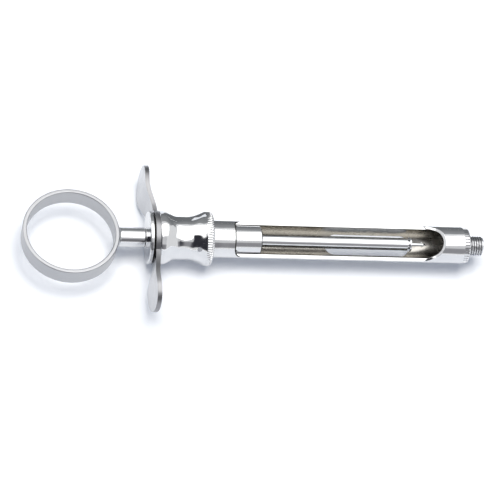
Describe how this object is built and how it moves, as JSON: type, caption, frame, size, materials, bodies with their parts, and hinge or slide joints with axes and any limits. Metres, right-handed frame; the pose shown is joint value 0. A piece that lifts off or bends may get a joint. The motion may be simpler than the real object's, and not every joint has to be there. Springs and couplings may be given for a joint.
{
  "type": "aspirating dental syringe",
  "caption": "Side-loading metal cartridge syringe with a barbed plunger, sprung guide bearing, winged finger bar and thumb ring.",
  "frame": {"origin": "on the barrel axis, at the adaptor's front face, where a needle hub seats", "axes": "+X along the barrel towards the needle, +Z along the thumb ring's hole, Y across the finger bar"},
  "size_m": [0.1418, 0.0508, 0.0164],
  "materials": {
    "mirror_steel": "mirror polished stainless steel",
    "satin_steel": "satin",
    "spring_steel": "drawn wire"
  },
  "bodies": {
    "syringe_body": {"barrel": "mirror_steel", "needle_adaptor": "mirror_steel", "finger_spool": "mirror_steel", "finger_bar": "satin_steel", "end_nut": "mirror_steel", "rod_bush": "mirror_steel", "bearing_spring": "spring_steel"},
    "bearing": {"guide_bearing": "mirror_steel"},
    "plunger": {"piston_rod": "mirror_steel", "piston_foot": "mirror_steel", "harpoon": "mirror_steel"},
    "thumb_grip": {"ring_stem": "mirror_steel", "thumb_ring": "satin_steel"}
  },
  "joints": [
    {"name": "bearing_slide", "type": "slide", "parent": "syringe_body", "child": "bearing", "axis": [1, 0, 0], "range_m": [-0.0103, 0], "stiffness_N_per_m": 400, "springref_m": 0.004, "deforming": ["bearing_spring"]},
    {"name": "plunger_slide", "type": "slide", "parent": "bearing", "child": "plunger", "axis": [1, 0, 0], "range_m": [-0.0525, 0]},
    {"name": "thumb_ring_turn", "type": "hinge", "parent": "plunger", "child": "thumb_grip", "pos_m": [-0.1, 0, 0], "axis": [1, 0, 0], "continuous": true}
  ]
}
